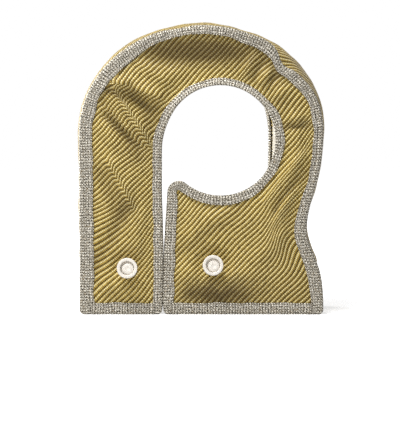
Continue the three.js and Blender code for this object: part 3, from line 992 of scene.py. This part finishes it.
class Nodes:
    """The nodes of a material, or of the world."""

    def __init__(self, tree):
        self.nodes, self.links = tree.nodes, tree.links

    def feed(self, socket, value):
        if isinstance(value, Number):
            value = value.socket
        if isinstance(value, bpy.types.NodeSocket):
            self.links.new(value, socket)
        elif isinstance(value, tuple) and len(value) == 3 and socket.type == "RGBA":
            socket.default_value = (*value, 1)
        else:
            socket.default_value = value

    def node(self, kind, output=0, settings=(), **inputs):
        """Any other node, by its kind, its settings and what feeds it."""
        node = self.nodes.new("ShaderNode" + kind)
        for key, value in dict(settings).items():
            setattr(node, key, value)
        for key, value in inputs.items():
            self.feed(node.inputs[key.replace("_", " ")], value)
        return Number(self, node.outputs[output])

    def mix(self, factor, a, b):
        node = self.nodes.new("ShaderNodeMix")
        node.data_type = "RGBA"
        self.feed(node.inputs[0], factor)
        self.feed(node.inputs[6], a)
        self.feed(node.inputs[7], b)
        return Number(self, node.outputs[2])

    def seen(self):
        """1 where the camera, a mirror or glass looks at this, and 0 where it only gives light."""
        path = self.nodes.new("ShaderNodeLightPath")
        camera, glossy, through = (
            Number(self, path.outputs[f"Is {ray} Ray"]) for ray in ("Camera", "Glossy", "Transmission")
        )
        return camera + glossy + through


class Look(Nodes):
    """A material, with its shader and the coordinates of the flat cut."""

    def __init__(self, name, colour, **constants):
        self.material = bpy.data.materials.new(name)
        self.material.use_nodes = True
        self.material.diffuse_color = (*colour, 1)
        super().__init__(self.material.node_tree)
        self.shader = self.nodes["Principled BSDF"]
        self.shader.inputs["Base Color"].default_value = (*colour, 1)
        for socket, value in constants.items():
            self.shader.inputs[socket.replace("_", " ")].default_value = value

    def cut(self):
        """The flat cut's two coordinates, in millimetres."""
        uv = self.node("UVMap", settings={"uv_map": "weave"})
        split = self.nodes.new("ShaderNodeSeparateXYZ")
        self.feed(split.inputs[0], uv)
        return uv, Number(self, split.outputs[0]), Number(self, split.outputs[1])

    def noise(self, where, scale, detail):
        return self.node("TexNoise", Vector=where, Scale=scale, Detail=detail)

    def here(self):
        """The place on the piece, in metres."""
        return self.node("TexCoord", 3)

    def paint(self, **sockets):
        for socket, value in sockets.items():
            self.feed(self.shader.inputs[socket.replace("_", " ")], value)

    def emboss(self, height, distance, strength):
        """A bump of that depth, in millimetres."""
        return self.node("Bump", Height=height, Distance=distance * MM, Strength=strength)

    def use(self, *pieces):
        for piece in pieces:
            piece.data.materials.clear()
            piece.data.materials.append(self.material)
        print(self.material.name, "on", [piece.name for piece in pieces])


def shade(red, green, blue):
    """A colour from its values in a photograph, 0 to 255."""
    values = [v / 255 for v in (red, green, blue)]
    return tuple(((v + 0.055) / 1.055) ** 2.4 if v > 0.04 else v / 12.92 for v in values)


def named(*words):
    return [o for o in bpy.data.objects if o.type == "MESH" and any(w in o.name for w in words)]


print("the twill's yellow, as light", [round(v, 3) for v in shade(158, 132, 72)])

# %% [markdown]
# The twill's yarns float over three and under one, each a step on from its neighbour. So a rib is a row
# of short slanted floats, with a painted highlight where they rise towards the light and painted shade,
# nearly black, in the valleys where they go under. Basalt yarn has the dull shine of glass fibre,
# brighter along its length than across it.

# %% Twill
twill = Look("twill", shade(158, 132, 72), Roughness=0.5, Sheen_Weight=0.1, Anisotropic=0.4,
             Specular_IOR_Level=0.2)
uv, along, across = twill.cut()
rib = across / RIB
ridge, row, side = rib.wave(), rib.sum("FLOOR"), rib.sum("FRACT")
floats = (along / 1.63).wave()
valley = 1 - ridge.ramp(0.16, 0.42)
crown = 1 - ((side - 0.6).sum("ABSOLUTE") / 0.2).ramp(0.35, 1.0)
slub = twill.noise(uv, 0.3, 3.0)
patch = twill.noise(twill.here(), 14.0, 2.0)
stain = twill.node("Attribute", 2, {"attribute_name": "stain"})
base = twill.mix(slub.ramp(0.3, 0.7), shade(158, 129, 50), shade(196, 166, 78))
base = twill.mix(patch.ramp(0.4, 0.75) * 0.3, base, shade(124, 100, 48))
base = twill.mix((0.3 + 0.2 * crown) * floats.ramp(0.55, 0.9), base, shade(96, 72, 26))
# Painted shade: nearly black in the valleys between the ribs.
base = twill.mix(valley * (0.62 + 0.38 * floats.ramp(0.35, 0.6)), base, shade(6, 3, 0))
# Painted highlight: pale dots along the side of each rib that faces the light.
base = twill.mix(crown * (1 - 0.72 * floats.ramp(0.35, 0.6)), base, shade(246, 235, 180))
# Painted shade from the stored attribute: folds, under the top tape, the foot; on the rim a random tone.
base = twill.mix(stain * 0.7, base, shade(58, 40, 10))
yarn = ridge * 0.6 + floats * ridge * 0.4
twill.paint(Base_Color=base, Roughness=0.6 - 0.2 * crown, Normal=twill.emboss(yarn, 0.4, 0.7))
twill.use(*named("cloth_sewn"))

# %% [markdown]
# The binding is knitted from fine steel wire. Its loops make columns of small V shapes that lean
# together, with painted highlights where the wire turns over and painted shade in the holes between the
# loops.

# %% Knitted wire
knit = Look("knitted_wire", shade(168, 162, 150), Roughness=0.45, Metallic=0.2,
            Specular_IOR_Level=0.25)
uv, along, across = knit.cut()
drift = knit.noise(uv, 0.12, 2.0)
column = across / 2.1 + drift * 0.8
arms = column.wave()
loop = (along / 2.2 + arms * 0.5 + drift).wave()
speck = knit.noise(uv, 0.75, 2.0)
fine = knit.noise(uv, 1.7, 1.0)
wire = loop.ramp(0.15, 0.75) * (0.4 + 0.6 * arms.ramp(0.05, 0.5))
tone = wire * 0.5 + speck.ramp(0.34, 0.66) * 0.4 + fine * 0.2
# Painted shade between the loops and painted highlights on the wire, mixed with random specks.
base = knit.mix(tone.ramp(0.12, 0.55), shade(44, 40, 32), shade(146, 139, 124))
base = knit.mix(tone.ramp(0.55, 0.95), base, shade(238, 233, 220))
base = knit.mix(knit.noise(uv, 0.5, 1.0).ramp(0.55, 0.75) * 0.25, base, shade(178, 146, 92))
stitch_line = 1 - ((across - STITCH).sum("ABSOLUTE") / 0.5).ramp(0.4, 1)
stitches = stitch_line * (along / STITCH_STEP).wave().ramp(0.25, 0.4)
base = knit.mix(stitches * 0.5, base, shade(222, 216, 204))
mesh_bump = knit.emboss(tone + stitches * 0.4, 0.5, 0.9)
knit.paint(Base_Color=base, Roughness=0.55 - 0.15 * tone, Normal=mesh_bump)
knit.use(*named("binding"))

# %% [markdown]
# The lining is plain woven glass cloth, nearly white. The felt is a loose white mat. The studs are
# pressed steel with a soft satin coat, a little duller where the springs rub.

# %% Lining, felt and studs
glass = Look("glass_cloth", shade(222, 216, 202), Roughness=0.7, Sheen_Weight=0.2)
uv, along, across = glass.cut()
over = ((along + across) / 1.4).wave() * 0.5 + ((along - across) / 1.4).wave() * 0.5
base = glass.mix(over.ramp(0.2, 0.8), shade(196, 188, 170), shade(230, 226, 214))
soil = glass.noise(glass.here(), 22.0, 3.0)
base = glass.mix(soil.ramp(0.45, 0.8) * 0.3, base, shade(178, 166, 140))
glass.paint(Base_Color=base, Normal=glass.emboss(over, 0.25, 0.6))
glass.use(*named("lining_sewn"))

mat = Look("needled_mat", shade(232, 228, 218), Roughness=0.95)
hair = mat.noise(mat.here(), 600.0, 4.0)
base = mat.mix(hair, shade(214, 208, 194), shade(240, 237, 230))
mat.paint(Base_Color=base, Normal=mat.emboss(hair, 0.5, 0.7))
mat.use(*named("felt_mat"))

steel = Look("satin_steel", shade(234, 229, 220), Roughness=0.42, Metallic=0.1)
brushed = steel.noise(steel.here(), 500.0, 2.0)
rubbed = steel.noise(steel.here(), 160.0, 2.0).ramp(0.4, 0.75)
base = steel.mix(rubbed * 0.25, shade(238, 232, 222), shade(214, 205, 192))
satin = 0.36 + 0.18 * rubbed + 0.08 * brushed
steel.paint(Base_Color=base, Roughness=satin, Normal=steel.emboss(brushed, 0.01, 0.3))
steel.use(*named("_cup", "_pin", "_washer"))

# %% [markdown]
# ## The photograph
# The blanket stands on white paper in a white room. The light is broad and soft, from above and
# slightly left, and a narrow lamp shines through the hole on the lining behind it. To the camera the
# paper glows, more so farther away, so that it has no horizon.

# %% Floor and light
bm = bmesh.new()
bmesh.ops.create_grid(bm, x_segments=1, y_segments=1, size=6)
floor = add_mesh("floor", bm)
paper = Look("white_paper", (0.8, 0.8, 0.8), Roughness=0.9, Specular_IOR_Level=0.0)
far = paper.node("VectorMath", 1, {"operation": "LENGTH"}, Vector=paper.here()).ramp(0.25, 1.0)
white = paper.mix(far, (0.64, 0.64, 0.64), (0.95, 0.95, 0.95))
paper.paint(Emission_Color=paper.mix(paper.seen(), (0.0, 0.0, 0.0), white))
paper.shader.inputs["Emission Strength"].default_value = 1.0
paper.use(floor)

world = bpy.data.worlds.new("white_room")
bpy.context.scene.world = world
world.use_nodes = True
room = Nodes(world.node_tree)
fill = room.node("Background", Color=(1.0, 1.0, 1.0), Strength=0.2)
white = room.node("Background", Color=(1.0, 1.0, 1.0), Strength=1.0)
walls = room.nodes.new("ShaderNodeMixShader")
for socket, value in zip(walls.inputs, (room.seen(), fill, white)):
    room.feed(socket, value)
room.feed(room.nodes["World Output"].inputs["Surface"], walls.outputs[0])


def aim(piece, target):
    towards = Vector(target) - piece.location
    piece.rotation_euler = towards.to_track_quat("-Z", "Y").to_euler()


def hang(name, kind, place, power, target=(0, 0, 0.1), **settings):
    """Hangs a lamp at a place in metres and turns it to its target."""
    light = bpy.data.lights.new(name, kind)
    light.energy = power
    for key, value in settings.items():
        setattr(light, key, value)
    piece = add(name, light)
    piece.location = place
    aim(piece, target)
    print(name, power, "W")
    return piece


def soft_box(name, place, width, height, power):
    return hang(name, "AREA", place, power, shape="RECTANGLE", size=width, size_y=height)


soft_box("top_box", (-0.3, -0.36, 1.05), 0.6, 0.35, 12.5)
soft_box("front_box", (-0.6, -1.5, 0.6), 0.8, 0.8, 5.0)
soft_box("back_box", (-0.9, 0.9, 0.35), 0.8, 0.8, 16).visible_camera = False

BEHIND_HOLE = (0.058, 0.036, 0.142)  # on the rim's lining
beam = {"spot_size": math.radians(4.2), "spot_blend": 0.5, "shadow_soft_size": 0.01}
hang("hole_spot", "SPOT", (-0.5, -0.9, 0.3), 48, BEHIND_HOLE, **beam)

# %% [markdown]
# A long lens looks straight at the front from a little above, so hardly any of the rim shows.

# %% Camera
LENS = 148.6
AWAY = 1.410  # metres
RISE = math.radians(2.5)
camera = add("camera", bpy.data.cameras.new("camera"))
scene = bpy.context.scene
scene.camera = camera
target = Vector((-1.2, -40, 81.2)) * MM
back = Vector((0, -math.cos(RISE), math.sin(RISE)))
camera.location = target + back * AWAY
aim(camera, target)
camera.data.lens = LENS
camera.data.clip_end = 20

scene.view_settings.view_transform = "Standard"
scene.cycles.sample_clamp_indirect = 1.0
scene.cycles.use_denoising = False  # it would smear the yarns, which are a pixel or two wide
print("camera", AWAY, "m away, seeing", round(math.degrees(camera.data.angle), 1), "degrees")
